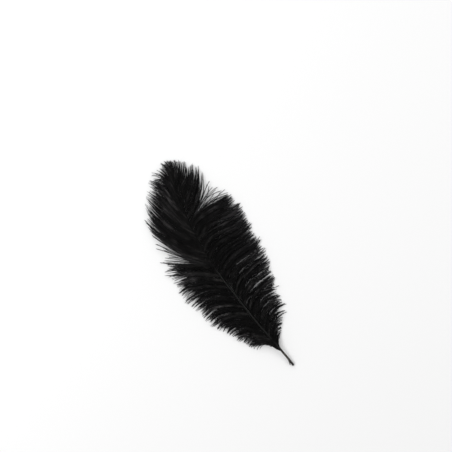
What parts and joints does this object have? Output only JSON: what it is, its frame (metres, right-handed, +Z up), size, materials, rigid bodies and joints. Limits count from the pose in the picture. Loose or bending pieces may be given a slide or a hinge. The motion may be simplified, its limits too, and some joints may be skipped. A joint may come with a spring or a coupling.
{
  "type": "ostrich feather",
  "caption": "Dyed ostrich plume: bare hollow quill, curved tapering shaft and long soft barbs that droop to the surface it lies on, for trimming hats, costume and craft.",
  "frame": {"origin": "middle of the bounding box at the height of the surface that the plume lies on", "axes": "+Y from the cut quill end to the head of the plume, +Z up off the surface, +X to the plume's right seen from above"},
  "size_m": [0.0894, 0.2236, 0.0093],
  "materials": {
    "shaft_keratin": "dyed keratin, satin, dark grey-brown at the bare quill and paler along the rachis",
    "barbs_black": "black-dyed downy barbs and barbules, soft sheen along the strands"
  },
  "bodies": {
    "root": {"shaft": "shaft_keratin", "vane_left": "barbs_black", "vane_right": "barbs_black"}
  },
  "joints": []
}
